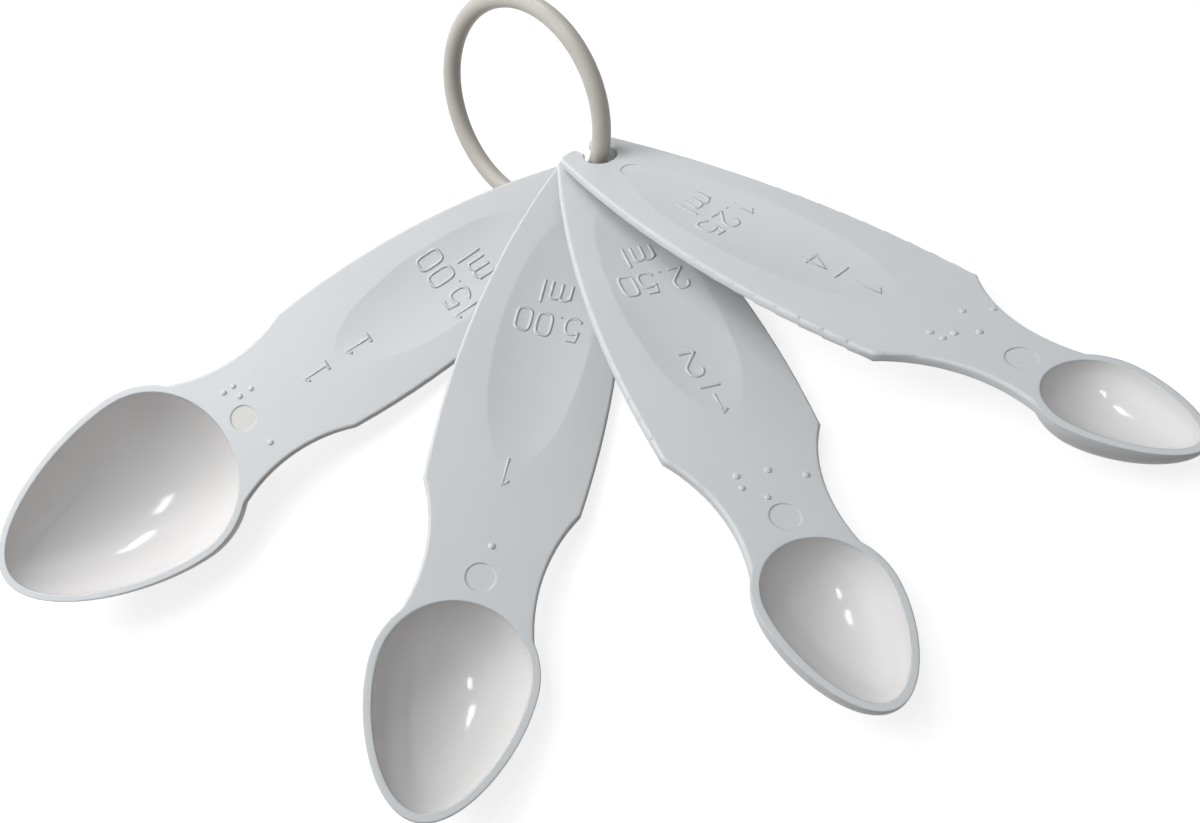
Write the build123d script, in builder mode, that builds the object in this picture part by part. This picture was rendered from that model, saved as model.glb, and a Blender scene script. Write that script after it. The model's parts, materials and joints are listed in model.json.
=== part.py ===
from build123d import *
from math import asin, cos, degrees, radians, sin
import os

# A set of four moulded measuring spoons fanned out on one ring.
# Millimetres, +Z up, the table at z = 0, the bowls towards -Y.

# Driving sizes shared by the four spoons
handle_thickness = 2.0
shoulder_half_width = 14.3
handle_end_half_width = 6.0
widest_half_width = 14.6
edge_round = 0.6
bowl_wall = 1.4
recess_half_width = 9.0
recess_depth = 0.7

# The widest place of a handle and the middle of its recess, as shares of the handle length
widest_place_share = 0.56
recess_middle_share = 0.52
recess_length_share = 0.80
# How full a bowl's outline is at its back, along its sides and round its tip, where 0.55
# everywhere would be an ellipse
round_share = 0.56
side_share = 0.40
tip_share = 0.54

# The ring and the snap-in eyelet that holds it
tube_diameter = 3.8
ring_radius = 21.6
eyelet_radius = 3.4
eyelet_wall = 2.5
mouth_width = 3.2
lobe_round = 2.2
lip_round = 1.1
# How far each spoon has slid down its eyelet, towards the ring's tube
eyelet_slack = 0.6

# The shallow round marks that the mould leaves, on each neck and by each eyelet
mark_radius = 2.6
mark_depth = 0.12
small_mark_radius = 2.0
small_mark_place = 8.7
# How far the neck mark's middle stands off the bowl, as a share of its radius
mark_clearance_share = 1.3

# How the ring leans: the angle of its plane from the table, and the way its face looks
ring_lean = 58.9
ring_facing = -125.5

# Each spoon: capacity in cubic millimetres, handle length from eyelet to shoulder, how far
# past the shoulder the waist is and its half width, the neck's length from the shoulder to
# the bowl, and from the bowl's widest place back to the neck, on to the tip and out to the side
tablespoon_capacity = 15000.0
tablespoon_handle = 63.6
tablespoon_waist = 13.4
tablespoon_waist_half_width = 11.7
tablespoon_neck = 21.9
tablespoon_bowl_back = 15.7
tablespoon_bowl_front = 33.1
tablespoon_bowl_half_width = 17.9

teaspoon_capacity = 5000.0
teaspoon_handle = 72.7
teaspoon_waist = 11.8
teaspoon_waist_half_width = 10.5
teaspoon_neck = 20.7
teaspoon_bowl_back = 12.8
teaspoon_bowl_front = 22.5
teaspoon_bowl_half_width = 12.7

half_teaspoon_capacity = 2500.0
half_teaspoon_handle = 75.5
half_teaspoon_waist = 12.5
half_teaspoon_waist_half_width = 9.2
half_teaspoon_neck = 21.3
half_teaspoon_bowl_back = 10.7
half_teaspoon_bowl_front = 19.1
half_teaspoon_bowl_half_width = 10.3

quarter_teaspoon_capacity = 1250.0
quarter_teaspoon_handle = 78.5
quarter_teaspoon_waist = 12.5
quarter_teaspoon_waist_half_width = 7.6
quarter_teaspoon_neck = 22.6
quarter_teaspoon_bowl_back = 8.9
quarter_teaspoon_bowl_front = 15.4
quarter_teaspoon_bowl_half_width = 8.3

# Where each eyelet sits on the ring, and how its spoon points and rolls, in degrees
tablespoon_seat = dict(arc=-55.2, heading=-146.6, roll=-30.9, slack=0.0)
teaspoon_seat = dict(arc=-42.3, heading=-100.8, roll=-32.0, slack=eyelet_slack)
half_teaspoon_seat = dict(arc=-31.6, heading=-68.9, roll=-28.3, slack=eyelet_slack)
quarter_teaspoon_seat = dict(arc=-20.4, heading=-43.4, roll=-23.8, slack=eyelet_slack)

# How far round the bowl's rim from its widest line the neck runs in, in degrees
join_turn = 30

# Sizes that follow
tablespoon_reach = tablespoon_handle + tablespoon_neck + tablespoon_bowl_back
teaspoon_reach = teaspoon_handle + teaspoon_neck + teaspoon_bowl_back
half_teaspoon_reach = half_teaspoon_handle + half_teaspoon_neck + half_teaspoon_bowl_back
quarter_teaspoon_reach = quarter_teaspoon_handle + quarter_teaspoon_neck + quarter_teaspoon_bowl_back
tube_radius = tube_diameter / 2
half_thickness = handle_thickness / 2
end_length = eyelet_radius + eyelet_wall
ring_height = ring_radius * sin(radians(ring_lean)) + tube_radius
ring_face = Vector(
    sin(radians(ring_lean)) * cos(radians(ring_facing)),
    sin(radians(ring_lean)) * sin(radians(ring_facing)),
    cos(radians(ring_lean)),
)
ring_level = Vector(-sin(radians(ring_facing)), cos(radians(ring_facing)), 0)
ring_plane = Plane(origin=(0, 0, ring_height), x_dir=ring_level, z_dir=ring_face)


def cup(half_width, back, front, depth):
    """A solid egg-shaped cup under z = 0: round towards the handle, pointed towards the tip."""
    with BuildPart() as egg:
        with BuildSketch():
            with BuildLine():
                Bezier(
                    (-back, 0),
                    (-back, round_share * half_width),
                    (-round_share * back, half_width),
                    (0, half_width),
                )
                Bezier(
                    (0, half_width),
                    (side_share * front, half_width),
                    (front, tip_share * half_width),
                    (front, 0),
                )
                Line((front, 0), (-back, 0))
            make_face()
        revolve(axis=-Axis.X, revolution_arc=180)
        scale(by=(1, 1, depth / half_width))
    return egg.part


def handle_face(length, waist, waist_half_width, join, join_half_width):
    """The flat outline: blunt end, convex sides, corner at the shoulder and hollow neck."""
    with BuildSketch() as face:
        with BuildLine():
            widest = (widest_place_share * length, widest_half_width)
            side = ThreePointArc((-end_length, handle_end_half_width), widest, (length, shoulder_half_width))
            neck = ThreePointArc(side @ 1, (waist, waist_half_width), (join, join_half_width))
            Line(neck @ 1, (join, 0))
            Line((join, 0), (-end_length, 0))
            Line((-end_length, 0), side @ 0)
        make_face()
        mirror(about=Plane.XZ)
        Circle(eyelet_radius, mode=Mode.SUBTRACT)
        with Locations((-end_length / 2, 0)):
            Rectangle(end_length, mouth_width, mode=Mode.SUBTRACT)
        corners = face.vertices().filter_by_position(Axis.X, -end_length - edge_round, -end_length + edge_round)
        fillet(corners.filter_by(lambda corner: abs(corner.Y) > mouth_width), lobe_round)
        corners = face.vertices().filter_by_position(Axis.X, -end_length - edge_round, -end_length + edge_round)
        fillet(corners.filter_by(lambda corner: abs(corner.Y) < mouth_width), lip_round)
    return face.sketch


def thumb_recess(length):
    """A shallow lens, hollowed out of the middle of a handle's upper side."""
    ball = (recess_half_width**2 + recess_depth**2) / (2 * recess_depth)
    with BuildPart() as lens:
        Sphere(ball)
        scale(by=(recess_length_share * length / 2 / recess_half_width, 1, 1))
    return lens.part.moved(Location((recess_middle_share * length, 0, half_thickness - recess_depth + ball)))


def measuring_spoon(capacity, handle, waist, waist_half_width, neck, bowl_back, bowl_front, bowl_half_width):
    """One spoon in its own frame: eyelet on Z, bowl along +X, middle of the handle's thickness at z = 0."""
    trial = cup(bowl_half_width, bowl_back, bowl_front, bowl_half_width)
    depth = bowl_half_width * capacity / trial.volume
    bowl_middle = handle + neck + bowl_back
    join = bowl_middle - bowl_back / 2
    mark_place = handle + neck - bowl_wall - mark_clearance_share * mark_radius
    join_half_width = (bowl_half_width + bowl_wall) * cos(radians(join_turn))
    with BuildPart() as spoon:
        with BuildSketch(Plane.XY.offset(-half_thickness)):
            add(handle_face(handle, handle + waist, waist_half_width, join, join_half_width))
        extrude(amount=handle_thickness)
        rims = spoon.faces().filter_by(Axis.Z).edges()
        fillet(rims.filter_by(lambda edge: end_length < edge.center().X < join - edge_round), edge_round)
        add(thumb_recess(handle), mode=Mode.SUBTRACT)
        with Locations((mark_place, 0, half_thickness)):
            Cylinder(mark_radius, 2 * mark_depth, mode=Mode.SUBTRACT)
        with Locations((small_mark_place, 0, half_thickness)):
            Cylinder(small_mark_radius, 2 * mark_depth, mode=Mode.SUBTRACT)
        with Locations((bowl_middle, 0, half_thickness)):
            add(
                cup(
                    bowl_half_width + bowl_wall,
                    bowl_back + bowl_wall,
                    bowl_front + bowl_wall,
                    depth + bowl_wall,
                )
            )
            add(cup(bowl_half_width, bowl_back, bowl_front, depth), mode=Mode.SUBTRACT)
    return spoon.part


def seat_place(arc, heading, roll, slack, pitch):
    """Where a spoon sits: eyelet on the ring's centre line, turned, pitched and rolled."""
    turn = radians(arc)
    eyelet = ring_plane.from_local_coords((ring_radius * cos(turn), ring_radius * sin(turn), 0))
    turned = Location(tuple(eyelet), (0, 0, heading))
    pitched = turned * Location((0, 0, 0), (0, -pitch, 0)) * Location((0, 0, 0), (roll, 0, 0))
    return pitched * Location((slack, 0, 0))


def rest_on_table(spoon, reach, seat):
    """The seat whose pitch lets the bowl just touch the table."""
    pitch = 0.0
    for attempt in range(3):
        low = spoon.moved(seat_place(pitch=pitch, **seat)).bounding_box().min.Z
        pitch = pitch - degrees(asin(low / reach))
    return seat_place(pitch=pitch, **seat)


os.makedirs("parts", exist_ok=True)

tablespoon_blank = measuring_spoon(
    tablespoon_capacity,
    tablespoon_handle,
    tablespoon_waist,
    tablespoon_waist_half_width,
    tablespoon_neck,
    tablespoon_bowl_back,
    tablespoon_bowl_front,
    tablespoon_bowl_half_width,
)
teaspoon_blank = measuring_spoon(
    teaspoon_capacity,
    teaspoon_handle,
    teaspoon_waist,
    teaspoon_waist_half_width,
    teaspoon_neck,
    teaspoon_bowl_back,
    teaspoon_bowl_front,
    teaspoon_bowl_half_width,
)
half_teaspoon_blank = measuring_spoon(
    half_teaspoon_capacity,
    half_teaspoon_handle,
    half_teaspoon_waist,
    half_teaspoon_waist_half_width,
    half_teaspoon_neck,
    half_teaspoon_bowl_back,
    half_teaspoon_bowl_front,
    half_teaspoon_bowl_half_width,
)
quarter_teaspoon_blank = measuring_spoon(
    quarter_teaspoon_capacity,
    quarter_teaspoon_handle,
    quarter_teaspoon_waist,
    quarter_teaspoon_waist_half_width,
    quarter_teaspoon_neck,
    quarter_teaspoon_bowl_back,
    quarter_teaspoon_bowl_front,
    quarter_teaspoon_bowl_half_width,
)

tablespoon_place = rest_on_table(tablespoon_blank, tablespoon_reach, tablespoon_seat)
teaspoon_place = rest_on_table(teaspoon_blank, teaspoon_reach, teaspoon_seat)
half_teaspoon_place = rest_on_table(half_teaspoon_blank, half_teaspoon_reach, half_teaspoon_seat)
quarter_teaspoon_place = rest_on_table(quarter_teaspoon_blank, quarter_teaspoon_reach, quarter_teaspoon_seat)

with BuildPart(ring_plane) as ring_blank:
    Torus(ring_radius, tube_radius)

# The middle of everything comes to the origin, standing on z = 0
tablespoon_seated = tablespoon_blank.moved(tablespoon_place)
teaspoon_seated = teaspoon_blank.moved(teaspoon_place)
half_teaspoon_seated = half_teaspoon_blank.moved(half_teaspoon_place)
quarter_teaspoon_seated = quarter_teaspoon_blank.moved(quarter_teaspoon_place)
box = Compound(
    [ring_blank.part, tablespoon_seated, teaspoon_seated, half_teaspoon_seated, quarter_teaspoon_seated]
).bounding_box()
stand = Location((-box.center().X, -box.center().Y, -box.min.Z))

with BuildPart() as ring:
    with Locations(stand):
        add(ring_blank.part)
ring.part.label = "ring"
export_step(ring.part, "parts/ring.step")

with BuildPart() as tablespoon:
    with Locations(stand):
        add(tablespoon_seated)
tablespoon.part.label = "tablespoon"
export_step(tablespoon.part, "parts/tablespoon.step")

with BuildPart() as teaspoon:
    with Locations(stand):
        add(teaspoon_seated)
teaspoon.part.label = "teaspoon"
export_step(teaspoon.part, "parts/teaspoon.step")

with BuildPart() as half_teaspoon:
    with Locations(stand):
        add(half_teaspoon_seated)
half_teaspoon.part.label = "half_teaspoon"
export_step(half_teaspoon.part, "parts/half_teaspoon.step")

with BuildPart() as quarter_teaspoon:
    with Locations(stand):
        add(quarter_teaspoon_seated)
quarter_teaspoon.part.label = "quarter_teaspoon"
export_step(quarter_teaspoon.part, "parts/quarter_teaspoon.step")

# The eyelets and the ways their plates face, which are the hinges' places and axes
print("box", box, "ring middle", stand * Location((0, 0, ring_height)))
for label, place, seated in (
    ("tablespoon", tablespoon_place, tablespoon.part),
    ("teaspoon", teaspoon_place, teaspoon.part),
    ("half_teaspoon", half_teaspoon_place, half_teaspoon.part),
    ("quarter_teaspoon", quarter_teaspoon_place, quarter_teaspoon.part),
):
    hinge = Plane(stand * place)
    print(label, "eyelet", hinge.origin, "faces", hinge.z_dir, "points", hinge.x_dir, "volume", seated.volume)
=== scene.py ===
# %% [markdown]
# A set of four moulded plastic measuring spoons lies fanned out on one ring.
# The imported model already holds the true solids: the ring and the four spoons.
# This lesson loads them, sets the camera where the photograph was taken from,
# gives every surface its plastic, and adds the raised figures and dots.

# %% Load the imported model
import json
import math
import bmesh
import bpy
from mathutils import Matrix, Vector


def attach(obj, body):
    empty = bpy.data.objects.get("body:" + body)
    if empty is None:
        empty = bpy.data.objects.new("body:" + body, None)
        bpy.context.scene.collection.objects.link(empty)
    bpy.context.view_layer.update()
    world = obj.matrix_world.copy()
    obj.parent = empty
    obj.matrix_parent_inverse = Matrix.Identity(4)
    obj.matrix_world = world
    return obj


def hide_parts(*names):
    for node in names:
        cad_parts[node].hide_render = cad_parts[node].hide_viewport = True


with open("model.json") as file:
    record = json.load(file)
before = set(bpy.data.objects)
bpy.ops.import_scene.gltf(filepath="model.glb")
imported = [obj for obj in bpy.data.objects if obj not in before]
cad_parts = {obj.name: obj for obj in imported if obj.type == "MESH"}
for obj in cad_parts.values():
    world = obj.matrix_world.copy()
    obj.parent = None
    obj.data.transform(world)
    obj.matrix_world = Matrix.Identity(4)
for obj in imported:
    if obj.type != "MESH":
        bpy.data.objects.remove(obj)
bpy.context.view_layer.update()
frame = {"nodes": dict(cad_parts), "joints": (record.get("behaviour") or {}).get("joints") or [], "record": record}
print("nodes", sorted(frame["nodes"]))

# %% [markdown]
# Sizes are written in millimetres, as a toolmaker reads them, and turned into metres here.
# Each spoon points along its own heading, and its plate leans, because the spoons lie
# on one another. The heading and the way the plate faces are those of the part, and the
# middle of its eyelet comes from its packed joint. They give the spoon's own frame.

# %% Sizes and each spoon's own frame
MM = 0.001
HALF_THICKNESS = 1.0 * MM
RECESS_HALF_WIDTH = 9.0 * MM
RECESS_DEPTH = 0.7 * MM
RECESS_MIDDLE_SHARE = 0.52
RECESS_LENGTH_SHARE = 0.80

SPOONS = {
    "tablespoon": dict(
        heading=-146.6, faces=(0.372638, -0.369422, 0.851274),
        handle=63.6, bowl_middle=101.2, bowl_back=15.7, bowl_front=33.1, bowl_half_width=17.9
    ),
    "teaspoon": dict(
        heading=-100.8, faces=(0.526796, -0.066465, 0.847389),
        handle=72.7, bowl_middle=106.2, bowl_back=12.8, bowl_front=22.5, bowl_half_width=12.7
    ),
    "half_teaspoon": dict(
        heading=-68.9, faces=(0.44675, 0.159145, 0.880391),
        handle=75.5, bowl_middle=107.5, bowl_back=10.7, bowl_front=19.1, bowl_half_width=10.3
    ),
    "quarter_teaspoon": dict(
        heading=-43.4, faces=(0.318527, 0.254192, 0.913196),
        handle=78.5, bowl_middle=110.0, bowl_back=8.9, bowl_front=15.4, bowl_half_width=8.3
    ),
}


def own_frame(name):
    """The spoon's frame: eyelet at its origin, X towards the bowl, Z out of the handle's upper side."""
    joint = next(j for j in frame["joints"] if j["child"] == name)
    up = Vector(SPOONS[name]["faces"]).normalized()
    heading = math.radians(SPOONS[name]["heading"])
    level = Vector((math.cos(heading), math.sin(heading), 0.0))
    along = (level - Vector((0.0, 0.0, level.dot(up) / up.z))).normalized()
    across = up.cross(along)
    turn = Matrix((along, across, up)).transposed().to_4x4()
    return Matrix.Translation(Vector(joint["pos_m"])) @ turn


OWN_FRAMES = {name: own_frame(name) for name in SPOONS}
for name, own in OWN_FRAMES.items():
    print(name, "eyelet at", [round(v, 4) for v in own.translation])

# %% [markdown]
# The photograph looks down at about 49 degrees, with the camera rolled, so that the fan
# spreads from the upper middle of the picture. The camera is placed by these angles
# round a point between the handles, measured from the ring's middle, and its lens gives
# the perspective of the picture.

# %% The camera
RING_MIDDLE = Vector(frame["record"]["mounts"][0]["pos_m"])
TARGET = RING_MIDDLE + Vector((11.183, -69.854, -15.095)) * MM
DISTANCE = 237.3 * MM
AZIMUTH = math.radians(31.0)
ELEVATION = math.radians(49.44)
ROLL = math.radians(-37.84)
LENS = 39.0
SENSOR = 36.0

camera_data = bpy.data.cameras.new("camera")
camera_data.lens = LENS
camera_data.sensor_width = SENSOR
camera_data.clip_start = 0.005
camera = bpy.data.objects.new("camera", camera_data)
bpy.context.scene.collection.objects.link(camera)
back = Vector(
    (
        math.sin(AZIMUTH) * math.cos(ELEVATION),
        -math.cos(AZIMUTH) * math.cos(ELEVATION),
        math.sin(ELEVATION),
    )
)
right = Vector((0.0, 0.0, 1.0)).cross(back).normalized()
above = back.cross(right)
rolled_right = right * math.cos(ROLL) + above * math.sin(ROLL)
rolled_above = above * math.cos(ROLL) - right * math.sin(ROLL)
camera.matrix_world = (
    Matrix.Translation(TARGET + back * DISTANCE) @ Matrix((rolled_right, rolled_above, back)).transposed().to_4x4()
)
bpy.context.scene.camera = camera
print("camera at", [round(v, 3) for v in camera.location])

# %% [markdown]
# White plastic is never one flat grey. Moulded polypropylene has a faint cloudiness,
# a fine satin skin on the handles and a polished skin inside the bowls, where the
# mould was polished so that the contents slide out. One material is built per spoon,
# with a Mapping node that turns its pattern into that spoon's own frame.

# %% Helpers for the materials
HANDLE_SHADE = (0.590, 0.612, 0.625, 1.0)
HANDLE_LIGHT = (0.640, 0.658, 0.668, 1.0)
# Painted light: the inside of each bowl is the handle's plastic, given a lighter colour for the light that the bowl
# catches
BOWL_PAINTED_LIGHT = (0.705, 0.695, 0.690, 1.0)
CREAM = (0.640, 0.632, 0.600, 1.0)
HANDLE_ROUGHNESS = 0.42
BOWL_ROUGHNESS = 0.10
SOFT_EDGE = 0.45 * MM
MARK_RADIUS = 2.6 * MM
MARK_TO_BOWL = 4.78
CLOUD_SCALE = 45.0
WAVE_SCALE = 110.0
GRAIN_SCALE = 2600.0


def new_material(name):
    material = bpy.data.materials.new(name)
    material.use_nodes = True
    return material, material.node_tree.nodes, material.node_tree.links


def put_on(obj, material):
    obj.data.materials.clear()
    obj.data.materials.append(material)


def math_node(nodes, links, operation, first, second=None, third=None):
    """A Math node fed by sockets or plain numbers."""
    node = nodes.new("ShaderNodeMath")
    node.operation = operation
    for socket, value in zip(node.inputs, (first, second, third)):
        if value is None:
            continue
        if isinstance(value, (int, float)):
            socket.default_value = value
        else:
            links.new(value, socket)
    return node.outputs["Value"]


def colour_between(nodes, links, factor, first, second):
    """A Mix node from one colour to another, each a socket or four numbers."""
    node = nodes.new("ShaderNodeMix")
    node.data_type = "RGBA"
    links.new(factor, node.inputs[0])
    for socket, value in ((node.inputs[6], first), (node.inputs[7], second)):
        if isinstance(value, tuple):
            socket.default_value = value
        else:
            links.new(value, socket)
    return node.outputs[2]


def noise(nodes, links, place, scale, detail):
    """A noise pattern with a given number of clouds to the metre."""
    node = nodes.new("ShaderNodeTexNoise")
    node.inputs["Scale"].default_value = scale
    node.inputs["Detail"].default_value = detail
    links.new(place, node.inputs["Vector"])
    return node.outputs["Fac"]


def bump(nodes, links, height, strength, distance, under=None):
    """Makes a pattern stand out by a distance, on top of another bump."""
    node = nodes.new("ShaderNodeBump")
    node.inputs["Strength"].default_value = strength
    node.inputs["Distance"].default_value = distance
    links.new(height, node.inputs["Height"])
    if under is not None:
        links.new(under, node.inputs["Normal"])
    return node.outputs["Normal"]


def spoon_plastic(name):
    """Satin white plastic, polished inside the bowl."""
    size = SPOONS[name]
    material, nodes, links = new_material(name + "_plastic")
    shader = nodes["Principled BSDF"]
    place = nodes.new("ShaderNodeTexCoord")
    own = nodes.new("ShaderNodeMapping")
    undo = OWN_FRAMES[name].inverted()
    own.inputs["Rotation"].default_value = undo.to_euler("XYZ")
    own.inputs["Location"].default_value = undo.translation
    links.new(place.outputs["Object"], own.inputs["Vector"])
    parts = nodes.new("ShaderNodeSeparateXYZ")
    links.new(own.outputs["Vector"], parts.inputs["Vector"])
    u, v, w = parts.outputs["X"], parts.outputs["Y"], parts.outputs["Z"]
    # The bowl's inside: within the rim's outline, and below the rim
    from_middle = math_node(nodes, links, "SUBTRACT", u, size["bowl_middle"] * MM)
    ahead = math_node(nodes, links, "DIVIDE", from_middle, size["bowl_front"] * MM)
    behind = math_node(nodes, links, "DIVIDE", from_middle, -size["bowl_back"] * MM)
    reach = math_node(nodes, links, "MAXIMUM", ahead, behind)
    aside = math_node(nodes, links, "DIVIDE", v, size["bowl_half_width"] * MM)
    reach_squared = math_node(nodes, links, "MULTIPLY", reach, reach)
    outline = math_node(nodes, links, "MULTIPLY_ADD", aside, aside, reach_squared)
    within = math_node(nodes, links, "LESS_THAN", outline, 1.002)
    below = math_node(nodes, links, "LESS_THAN", w, HALF_THICKNESS - 0.02 * MM)
    facing = nodes.new("ShaderNodeNewGeometry")
    normal = nodes.new("ShaderNodeVectorMath")
    normal.operation = "DOT_PRODUCT"
    links.new(facing.outputs["Normal"], normal.inputs[0])
    normal.inputs[1].default_value = OWN_FRAMES[name].to_3x3() @ Vector((0.0, 0.0, 1.0))
    upward = math_node(nodes, links, "GREATER_THAN", normal.outputs["Value"], 0.02)
    inside = math_node(nodes, links, "MULTIPLY", within, below)
    inside = math_node(nodes, links, "MULTIPLY", inside, upward)
    # Cloudy colour, wide and faint, and inside the bowl a lighter colour: painted light for the light that the bowl's
    # cup catches
    clouds = noise(nodes, links, own.outputs["Vector"], CLOUD_SCALE, 3.0)
    handle_colour = colour_between(nodes, links, clouds, HANDLE_SHADE, HANDLE_LIGHT)
    colour = colour_between(nodes, links, inside, handle_colour, BOWL_PAINTED_LIGHT)
    if name == "tablespoon":
        # The neck mark of the largest spoon is filled with a creamier plastic
        along = math_node(nodes, links, "SUBTRACT", u, (size["bowl_middle"] - size["bowl_back"] - MARK_TO_BOWL) * MM)
        along_squared = math_node(nodes, links, "MULTIPLY", along, along)
        spread = math_node(nodes, links, "MULTIPLY_ADD", v, v, along_squared)
        on_mark = math_node(nodes, links, "LESS_THAN", spread, (0.96 * MARK_RADIUS) ** 2)
        over = math_node(nodes, links, "GREATER_THAN", w, 0.0)
        colour = colour_between(nodes, links, math_node(nodes, links, "MULTIPLY", on_mark, over), colour, CREAM)
    links.new(colour, shader.inputs["Base Color"])
    # Satin handles, glossy bowls
    shine = nodes.new("ShaderNodeMapRange")
    shine.inputs["To Min"].default_value = HANDLE_ROUGHNESS
    shine.inputs["To Max"].default_value = BOWL_ROUGHNESS
    links.new(inside, shine.inputs["Value"])
    links.new(shine.outputs["Result"], shader.inputs["Roughness"])
    # The moulded skin: fine grain over a soft waviness, on edges that are a little rounded
    edges = nodes.new("ShaderNodeBevel")
    edges.samples = 6
    edges.inputs["Radius"].default_value = SOFT_EDGE
    grain = noise(nodes, links, own.outputs["Vector"], GRAIN_SCALE, 2.0)
    waves = noise(nodes, links, own.outputs["Vector"], WAVE_SCALE, 1.0)
    fine = bump(nodes, links, grain, 0.15, 0.05 * MM, edges.outputs["Normal"])
    links.new(bump(nodes, links, waves, 0.10, 0.4 * MM, fine), shader.inputs["Normal"])
    shader.inputs["IOR"].default_value = 1.49
    return material


PLASTICS = {name: spoon_plastic(name) for name in SPOONS}
print("plastics", sorted(m.name for m in PLASTICS.values()))

# %% [markdown]
# The ring is a warmer, slightly yellowed white than the spoons. It is a bent and
# closed rod with a smooth skin, which shows one long soft highlight.

# %% The ring's plastic
RING_SHADE = (0.48, 0.452, 0.408, 1.0)
RING_LIGHT = (0.56, 0.537, 0.495, 1.0)


def ring_plastic():
    material, nodes, links = new_material("ring_plastic")
    shader = nodes["Principled BSDF"]
    place = nodes.new("ShaderNodeTexCoord")
    clouds = noise(nodes, links, place.outputs["Object"], 120.0, 3.0)
    tint = colour_between(nodes, links, clouds, RING_SHADE, RING_LIGHT)
    links.new(tint, shader.inputs["Base Color"])
    skin = noise(nodes, links, place.outputs["Object"], 900.0, 2.0)
    links.new(bump(nodes, links, skin, 0.15, 0.06 * MM), shader.inputs["Normal"])
    shader.inputs["Roughness"].default_value = 0.30
    return material


RING_PLASTIC = ring_plastic()
print("ring plastic ready")

# %% [markdown]
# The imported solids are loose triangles, and their thin rounded edges shade in steps.
# A moulded edge catches the light in one unbroken line. So each solid is copied, its
# points are merged, and the copy is shaded smooth except across true corners. The
# shape stays exactly that of the solid, which the copy stands for.

# %% Smooth copies of the solids
CORNER_ANGLE = math.radians(62.0)
MERGE_DISTANCE = 0.0005 * MM
FLAT = math.cos(math.radians(0.5))


def on_plate(face, up):
    """Whether a face lies flat on one of the plate's two sides."""
    return up is not None and abs(face.normal.dot(up)) > FLAT


def corner_normal(face, corner, up):
    """The way the skin faces at one corner of a face: its round edges turn evenly."""
    if on_plate(face, up):
        return face.normal
    near = [other for other in corner.vert.link_faces if other.normal.dot(face.normal) > math.cos(CORNER_ANGLE)]
    flat = [other for other in near if on_plate(other, up)]
    if flat:
        return flat[0].normal
    total = Vector((0.0, 0.0, 0.0))
    for other in near:
        share = next(turn.calc_angle() for turn in other.loops if turn.vert == corner.vert)
        total += other.normal * share
    return total.normalized()


def smooth_copy(node, material):
    """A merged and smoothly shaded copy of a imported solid, standing for it."""
    up = OWN_FRAMES[node].to_3x3() @ Vector((0.0, 0.0, 1.0)) if node in OWN_FRAMES else None
    shell = bmesh.new()
    shell.from_mesh(frame["nodes"][node].data)
    bmesh.ops.remove_doubles(shell, verts=shell.verts, dist=MERGE_DISTANCE)
    shell.normal_update()
    data = bpy.data.meshes.new(node + "_skin")
    normals = [corner_normal(face, corner, up) for face in shell.faces for corner in face.loops]
    shell.to_mesh(data)
    shell.free()
    data.shade_smooth()
    data.normals_split_custom_set(normals)
    copy = bpy.data.objects.new(node + "_skin", data)
    bpy.context.scene.collection.objects.link(copy)
    put_on(copy, material)
    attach(copy, node)
    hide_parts(node)
    print(copy.name, len(data.polygons), "faces")
    return copy


for name, material in PLASTICS.items():
    put_on(frame["nodes"][name], material)
    smooth_copy(name, material)
put_on(frame["nodes"]["ring"], RING_PLASTIC)
smooth_copy("ring", RING_PLASTIC)

# %% [markdown]
# The capacity is raised out of each handle in thin rounded strokes, as if drawn with a
# fine nozzle. Every figure is a few lines in a unit box, swept as a thin tube, laid down
# in the spoon's own frame and lowered onto the curved floor of the thumb recess.

# %% Raised figures
STROKE_RADIUS = 0.34 * MM
STROKE_RISE = 0.15 * MM
STROKE_SUNK = 0.10 * MM
LETTER_GAP_SHARE = 0.24

# Each figure's width, then its lines: whether curved, whether closed, and its points,
# all as shares of the figure's height. "I" is a one that stands on a foot.
FIGURE_SHARES = {
    "0": (0.56, ((True, True, ((0.28, 0), (0, 0), (0, 0.5), (0, 1), (0.28, 1), (0.56, 1), (0.56, 0.5), (0.56, 0))),)),
    "1": (0.30, ((False, False, ((0.08, 0.8), (0.26, 1), (0.26, 0))),)),
    "I": (0.40, ((False, False, ((0.04, 0.8), (0.2, 1), (0.2, 0))), (False, False, ((0, 0), (0.4, 0))))),
    "2": (
        0.56,
        (
            (True, False, ((0.04, 0.75), (0.06, 1.05), (0.5, 1.08), (0.58, 0.68), (0.35, 0.4), (0.02, 0))),
            (False, False, ((0.02, 0), (0.56, 0))),
        ),
    ),
    "4": (0.58, ((False, False, ((0.42, 0), (0.42, 1), (0.02, 0.3), (0.58, 0.3))),)),
    "5": (
        0.56,
        (
            (False, False, ((0.5, 1), (0.12, 1), (0.07, 0.56))),
            (True, False, ((0.07, 0.56), (0.24, 0.7), (0.6, 0.68), (0.62, 0.0), (0.2, -0.08), (0.02, 0.12))),
        ),
    ),
    ".": (0.10, ((False, False, ((0.05, 0), (0.05, 0.05))),)),
    "-": (1.00, ((False, False, ((0, 0.5), (1, 0.5))),)),
    "m": (
        0.76,
        (
            (False, False, ((0.02, 0), (0.02, 0.66))),
            (True, False, ((0.02, 0.45), (0.08, 0.7), (0.4, 0.74), (0.38, 0.4), (0.38, 0))),
            (True, False, ((0.38, 0.45), (0.44, 0.7), (0.76, 0.74), (0.74, 0.4), (0.74, 0))),
        ),
    ),
    "l": (0.08, ((False, False, ((0.04, 0), (0.04, 1))),)),
}


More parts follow.
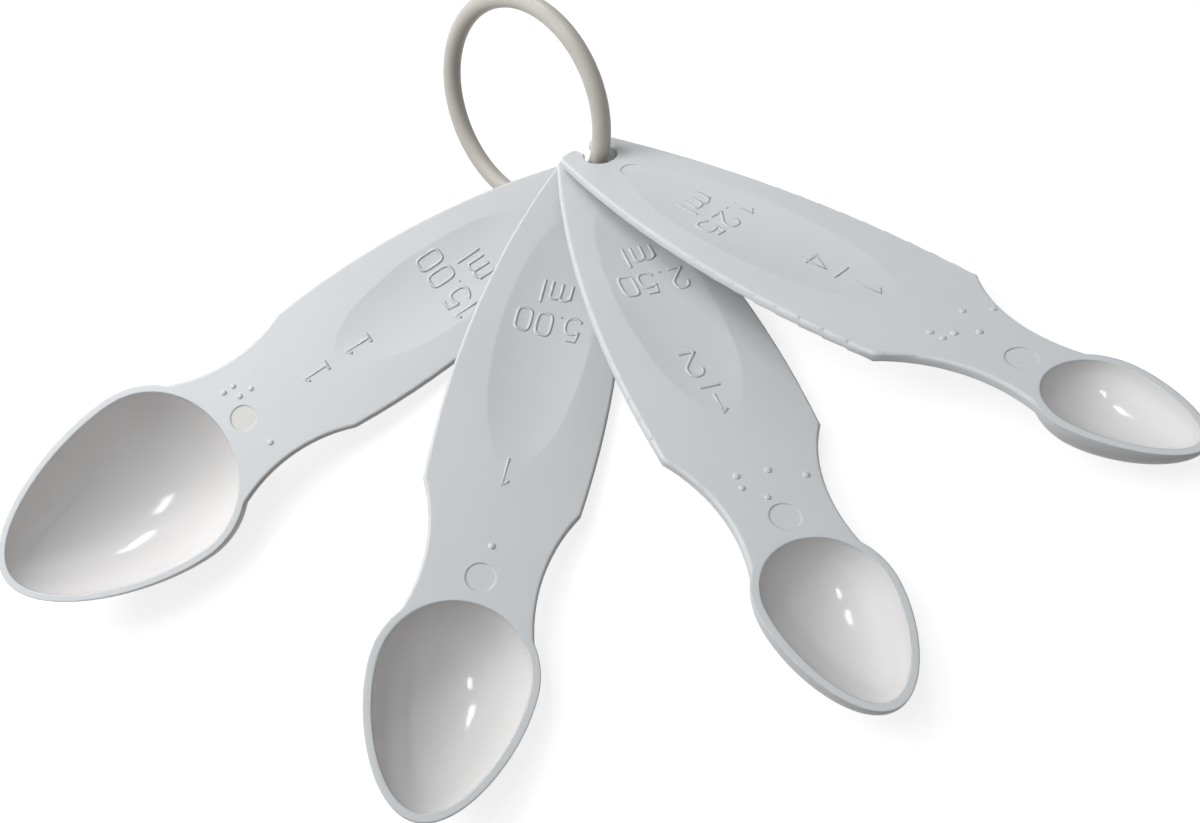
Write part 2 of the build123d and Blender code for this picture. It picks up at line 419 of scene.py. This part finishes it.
def skin_height(name, u, v):
    """How high the handle's upper side is at u, v, in the spoon's own frame."""
    length = SPOONS[name]["handle"] * MM
    ball = (RECESS_HALF_WIDTH**2 + RECESS_DEPTH**2) / (2 * RECESS_DEPTH)
    stretch = RECESS_LENGTH_SHARE * length / 2 / RECESS_HALF_WIDTH
    from_middle = (u - RECESS_MIDDLE_SHARE * length) / stretch
    dip = ball**2 - from_middle**2 - v**2
    floor = HALF_THICKNESS - RECESS_DEPTH + ball - math.sqrt(max(dip, 0.0))
    return min(floor, HALF_THICKNESS)


def swept(words, height):
    """The lines of a word as thin tubes in the XY plane, its middle at the origin."""
    curve = bpy.data.curves.new("strokes", "CURVE")
    curve.dimensions = "3D"
    curve.bevel_depth = STROKE_RADIUS
    curve.bevel_resolution = 2
    curve.use_fill_caps = True
    width = sum(FIGURE_SHARES[letter][0] for letter in words) + LETTER_GAP_SHARE * (len(words) - 1)
    start = -width / 2
    for letter in words:
        for curved, closed, points in FIGURE_SHARES[letter][1]:
            line = curve.splines.new("NURBS" if curved else "POLY")
            line.points.add(len(points) - 1)
            line.use_cyclic_u = closed
            line.use_endpoint_u = not closed
            line.order_u = 4 if closed else 3
            line.resolution_u = 6
            for point, (x, y) in zip(line.points, points):
                point.co = ((start + x) * height, (y - 0.5) * height, 0.0, 1.0)
        start += FIGURE_SHARES[letter][0] + LETTER_GAP_SHARE
    maker = bpy.data.objects.new("maker", curve)
    bpy.context.scene.collection.objects.link(maker)
    bpy.context.view_layer.update()
    mesh = bpy.data.meshes.new_from_object(maker.evaluated_get(bpy.context.evaluated_depsgraph_get()))
    bpy.data.objects.remove(maker)
    return mesh


def figure(spoon, words, u, v, height):
    """A word of raised strokes, its middle at u, v and its feet towards the ring."""
    mesh = swept(words, height * MM)
    flatten = (STROKE_RISE + STROKE_SUNK) / 2 / STROKE_RADIUS
    for vertex in mesh.vertices:
        along = u * MM + vertex.co.y
        across = v * MM - vertex.co.x
        up = skin_height(spoon, along, across) + vertex.co.z * flatten + (STROKE_RISE - STROKE_SUNK) / 2
        vertex.co = Vector((along, across, up))
    mesh.shade_smooth()
    mesh.transform(OWN_FRAMES[spoon])
    return mesh


FIGURES = {
    "tablespoon": (("15.00", 32.0, 0.5, 5.2), ("ml", 25.0, 0.5, 5.4), ("I", 54.0, 0.5, 5.5), ("I", 64.0, 0.5, 5.5)),
    "teaspoon": (("5.00", 35.0, 0.0, 5.0), ("ml", 27.6, 0.0, 5.4), ("1", 68.0, 0.0, 5.5)),
    "half_teaspoon": (
        ("2.50", 34.0, 0.0, 5.2),
        ("ml", 26.4, 0.0, 5.4),
        ("1", 66.4, 0.0, 4.6),
        ("-", 62.0, -0.4, 3.8),
        ("2", 56.0, -1.2, 5.6),
    ),
    "quarter_teaspoon": (
        ("1.25", 34.0, 0.0, 5.0),
        ("ml", 26.4, 0.0, 5.4),
        ("1", 66.8, 0.0, 5.6),
        ("-", 60.6, 0.0, 3.8),
        ("4", 55.1, 0.0, 5.6),
    ),
}


def joined(name, meshes, body):
    """One mesh object made of several, riding on a body."""
    whole = bmesh.new()
    for mesh in meshes:
        whole.from_mesh(mesh)
    data = bpy.data.meshes.new(name)
    whole.to_mesh(data)
    whole.free()
    obj = bpy.data.objects.new(name, data)
    bpy.context.scene.collection.objects.link(obj)
    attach(obj, body)
    return obj


for spoon, words in FIGURES.items():
    meshes = [figure(spoon, *word) for word in words]
    raised = joined(spoon + "_figures", meshes, spoon)
    put_on(raised, PLASTICS[spoon])
    print(raised.name, len(raised.data.polygons), "faces")

# %% [markdown]
# The necks and shoulders carry a scatter of low round dots, which a finger can read.
# Geometry Nodes put one small dome on each point, and the result becomes a plain mesh.

# %% Raised dots
DOT_RADIUS = 0.62 * MM
DOT_RISE = 0.27 * MM
DOT_SEED = 4

DOTS = {
    "tablespoon": ((81.2, -6.7), (78.9, -6.7), (79.0, -4.2), (76.3, -4.2), (79.0, 7.3)),
    "teaspoon": ((82.6, 0.5),),
    "half_teaspoon": ((82.3, -4.2), (84.8, -4.3), (82.5, 1.3), (87.7, -1.1), (85.2, 6.9)),
    "quarter_teaspoon": ((82.0, -4.0), (84.4, -3.9), (85.0, -1.7), (82.6, 4.0), (87.8, 1.2), (86.0, 7.7)),
}


def dome_tree():
    """A node tree that sets a low dome on every point of a mesh."""
    tree = bpy.data.node_groups.new("raised_dots", "GeometryNodeTree")
    face = tree.interface
    face.new_socket("Points", in_out="INPUT", socket_type="NodeSocketGeometry")
    face.new_socket("Radius", in_out="INPUT", socket_type="NodeSocketFloat")
    face.new_socket("Rise", in_out="INPUT", socket_type="NodeSocketFloat")
    face.new_socket("Seed", in_out="INPUT", socket_type="NodeSocketInt")
    face.new_socket("Plastic", in_out="INPUT", socket_type="NodeSocketMaterial")
    face.new_socket("Domes", in_out="OUTPUT", socket_type="NodeSocketGeometry")
    nodes, links = tree.nodes, tree.links
    given = nodes.new("NodeGroupInput")
    made = nodes.new("NodeGroupOutput")
    ball = nodes.new("GeometryNodeMeshUVSphere")
    ball.inputs["Segments"].default_value = 20
    ball.inputs["Rings"].default_value = 12
    links.new(given.outputs["Radius"], ball.inputs["Radius"])
    share = nodes.new("ShaderNodeMath")
    share.operation = "DIVIDE"
    links.new(given.outputs["Rise"], share.inputs[0])
    links.new(given.outputs["Radius"], share.inputs[1])
    flat = nodes.new("ShaderNodeCombineXYZ")
    flat.inputs["X"].default_value = 1.0
    flat.inputs["Y"].default_value = 1.0
    links.new(share.outputs["Value"], flat.inputs["Z"])
    uneven = nodes.new("FunctionNodeRandomValue")
    uneven.data_type = "FLOAT"
    uneven.inputs[2].default_value = 0.92
    uneven.inputs[3].default_value = 1.08
    links.new(given.outputs["Seed"], uneven.inputs["Seed"])
    size = nodes.new("ShaderNodeVectorMath")
    size.operation = "SCALE"
    links.new(flat.outputs["Vector"], size.inputs[0])
    links.new(uneven.outputs[1], size.inputs["Scale"])
    spread = nodes.new("GeometryNodeInstanceOnPoints")
    links.new(given.outputs["Points"], spread.inputs["Points"])
    links.new(ball.outputs["Mesh"], spread.inputs["Instance"])
    links.new(size.outputs["Vector"], spread.inputs["Scale"])
    real = nodes.new("GeometryNodeRealizeInstances")
    links.new(spread.outputs["Instances"], real.inputs["Geometry"])
    smooth = nodes.new("GeometryNodeSetShadeSmooth")
    links.new(real.outputs["Geometry"], smooth.inputs[0])
    paint = nodes.new("GeometryNodeSetMaterial")
    links.new(smooth.outputs[0], paint.inputs["Geometry"])
    links.new(given.outputs["Plastic"], paint.inputs["Material"])
    links.new(paint.outputs["Geometry"], made.inputs["Domes"])
    return tree


DOME_TREE = dome_tree()
DOME_INPUTS = {item.name: item.identifier for item in DOME_TREE.interface.items_tree if item.in_out == "INPUT"}


def domes(spoon, places):
    """Low domes on a spoon at places given in its own frame, as one plain mesh."""
    data = bpy.data.meshes.new(spoon + "_dot_points")
    data.from_pydata([(u * MM, v * MM, skin_height(spoon, u * MM, v * MM)) for u, v in places], [], [])
    maker = bpy.data.objects.new("maker", data)
    bpy.context.scene.collection.objects.link(maker)
    spread = maker.modifiers.new("domes", "NODES")
    spread.node_group = DOME_TREE
    spread[DOME_INPUTS["Radius"]] = DOT_RADIUS
    spread[DOME_INPUTS["Rise"]] = DOT_RISE
    spread[DOME_INPUTS["Seed"]] = DOT_SEED
    spread[DOME_INPUTS["Plastic"]] = PLASTICS[spoon]
    bpy.context.view_layer.update()
    mesh = bpy.data.meshes.new_from_object(maker.evaluated_get(bpy.context.evaluated_depsgraph_get()))
    maker.modifiers.clear()
    bpy.data.objects.remove(maker)
    mesh.transform(OWN_FRAMES[spoon])
    return mesh


for spoon, places in DOTS.items():
    dots = joined(spoon + "_dots", [domes(spoon, places)], spoon)
    put_on(dots, PLASTICS[spoon])
    print(dots.name, len(dots.data.polygons), "faces")

# %% [markdown]
# The stage is a plain pale floor. Seen by the camera, or in a gloss, it is as white as
# the background of the photograph and still keeps soft shadows. The light that it sends
# back up is that of a plain warm table, so the undersides stay in shade.

# %% Floor and sky
FLOOR_HALF = 1.5
FLOOR_DROP = 0.05 * MM
TABLE_COLOUR = (0.20, 0.165, 0.13, 1.0)
WHITE = (1.0, 1.0, 1.0, 1.0)
FLOOR_GREY = (0.28, 0.28, 0.285, 1.0)
FLOOR_GLOW = 0.82
SKY_COLOUR = (0.93, 0.96, 1.0, 1.0)
SKY_STRENGTH = 0.24


def seen(nodes, links):
    """1 for rays of the camera, of a gloss or through glass, else 0."""
    path = nodes.new("ShaderNodeLightPath")
    direct = math_node(nodes, links, "MAXIMUM", path.outputs["Is Camera Ray"], path.outputs["Is Glossy Ray"])
    return math_node(nodes, links, "MAXIMUM", direct, path.outputs["Is Transmission Ray"])


def floor_material():
    material, nodes, links = new_material("white_table")
    output = nodes["Material Output"]
    table = nodes["Principled BSDF"]
    table.inputs["Base Color"].default_value = TABLE_COLOUR
    table.inputs["Roughness"].default_value = 0.9
    white = nodes.new("ShaderNodeBsdfDiffuse")
    white.inputs["Color"].default_value = FLOOR_GREY
    glow = nodes.new("ShaderNodeEmission")
    glow.inputs["Color"].default_value = WHITE
    glow.inputs["Strength"].default_value = FLOOR_GLOW
    both = nodes.new("ShaderNodeAddShader")
    links.new(white.outputs["BSDF"], both.inputs[0])
    links.new(glow.outputs["Emission"], both.inputs[1])
    choice = nodes.new("ShaderNodeMixShader")
    links.new(seen(nodes, links), choice.inputs[0])
    links.new(table.outputs["BSDF"], choice.inputs[1])
    links.new(both.outputs["Shader"], choice.inputs[2])
    links.new(choice.outputs["Shader"], output.inputs["Surface"])
    return material


floor_mesh = bpy.data.meshes.new("floor")
corners = [(-FLOOR_HALF, -FLOOR_HALF, 0), (FLOOR_HALF, -FLOOR_HALF, 0), (FLOOR_HALF, FLOOR_HALF, 0), (-FLOOR_HALF, FLOOR_HALF, 0)]
floor_mesh.from_pydata(corners, [], [(0, 1, 2, 3)])
floor = bpy.data.objects.new("floor", floor_mesh)
floor.location.z = -FLOOR_DROP
bpy.context.scene.collection.objects.link(floor)
put_on(floor, floor_material())

world = bpy.data.worlds.new("sky")
bpy.context.scene.world = world
world.use_nodes = True
sky_nodes, sky_links = world.node_tree.nodes, world.node_tree.links
sky = sky_nodes["Background"]
sky.inputs["Color"].default_value = SKY_COLOUR
sky.inputs["Strength"].default_value = SKY_STRENGTH
backdrop = sky_nodes.new("ShaderNodeBackground")
backdrop.inputs["Color"].default_value = WHITE
backdrop.inputs["Strength"].default_value = 1.0
either = sky_nodes.new("ShaderNodeMixShader")
sky_links.new(seen(sky_nodes, sky_links), either.inputs[0])
sky_links.new(sky.outputs["Background"], either.inputs[1])
sky_links.new(backdrop.outputs["Background"], either.inputs[2])
sky_links.new(either.outputs["Shader"], sky_nodes["World Output"].inputs["Surface"])
print("floor and sky set")

# %% [markdown]
# The photograph's bowls each mirror two bright panes of one window overhead. So two
# small bright lights stand where those glints point, and a large soft one fills in.

# %% Lights
AIM = Vector((0.0, -0.02, 0.0))


def soft_light(name, towards, distance, width, height, power):
    """A rectangular light in a direction from the spoons, facing them, its height along +Y."""
    data = bpy.data.lights.new(name, "AREA")
    data.shape = "RECTANGLE"
    data.size = width
    data.size_y = height
    data.energy = power
    out = Vector(towards).normalized()
    level = Vector((0.0, 1.0, 0.0))
    tall = (level - out * level.dot(out)).normalized()
    wide = tall.cross(out)
    light = bpy.data.objects.new(name, data)
    light.matrix_world = Matrix.Translation(AIM + out * distance) @ Matrix((wide, tall, out)).transposed().to_4x4()
    bpy.context.scene.collection.objects.link(light)
    return light


soft_light("near_pane", (0.16, -0.06, 0.98), 1.0, 0.10, 0.24, 1.0)
soft_light("far_pane", (0.03, 0.46, 0.88), 1.0, 0.10, 0.22, 1.0)
fill = soft_light("high_fill", (-0.30, 0.08, 0.95), 0.50, 0.50, 0.50, 1.1)
side = soft_light("left_window", (-0.50, 0.20, 0.84), 0.30, 0.22, 0.22, 0.52)
for broad in (fill, side):
    broad.visible_glossy = False
bpy.context.scene.view_settings.view_transform = "Standard"
print("lights set")

# %% [markdown]
# The script ends here.

# %% Finish
print("finished")
